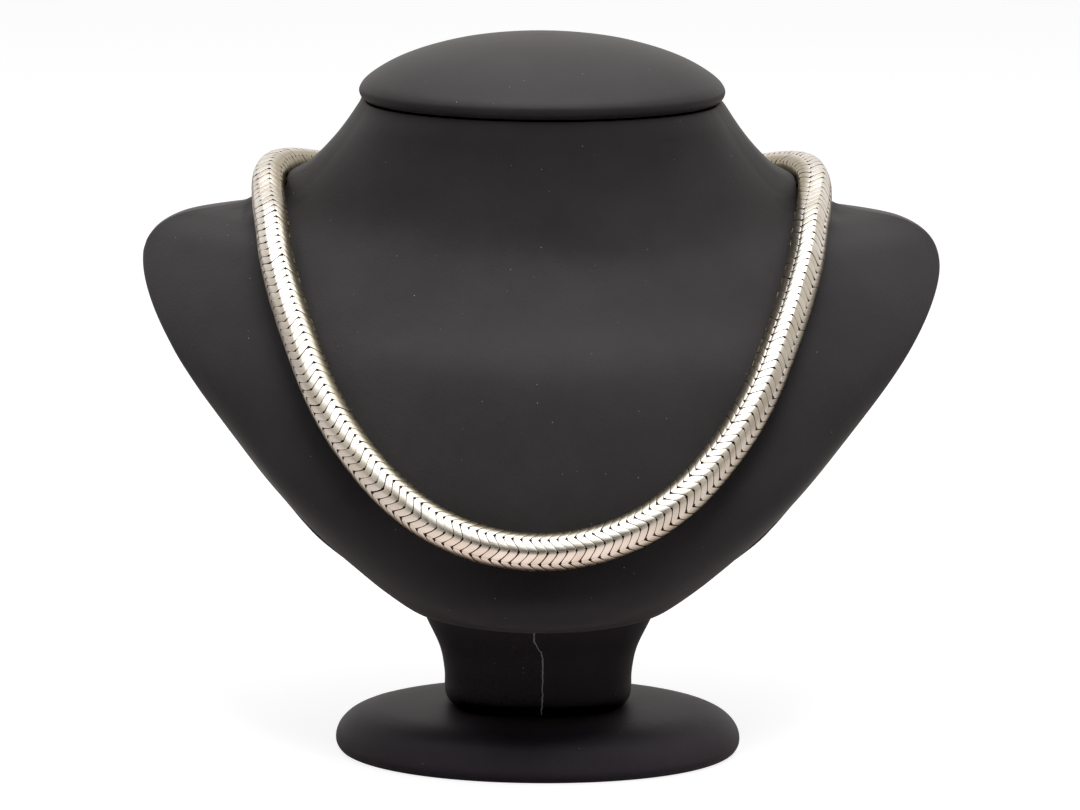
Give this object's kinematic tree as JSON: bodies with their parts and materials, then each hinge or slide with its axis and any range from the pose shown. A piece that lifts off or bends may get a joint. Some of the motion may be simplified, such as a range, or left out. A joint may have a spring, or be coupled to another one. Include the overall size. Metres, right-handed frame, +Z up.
{
  "type": "snake chain necklace on neck bust display stand",
  "caption": "Thick round woven silver snake chain, closed in a loop by a barrel clasp, resting round the neck of a black leatherette-covered display bust with cap, stem and oval foot.",
  "frame": {"origin": "middle of the foot's underside, on the surface that the bust stands on", "axes": "+Z up, +X across the shoulders towards the viewer's right, -Y towards the viewer, where the chest and the chain's lowest point face"},
  "size_m": [0.2212, 0.1498, 0.1925],
  "materials": {
    "silver": "polished woven silver wire, a little tarnished in the grooves",
    "leatherette": "black fine-grained leatherette with a dull sheen"
  },
  "bodies": {
    "root": {"snake_chain": "silver", "barrel_clasp": "silver", "neck_cap": "leatherette", "bust": "leatherette", "stem": "leatherette", "foot": "leatherette"}
  },
  "joints": []
}
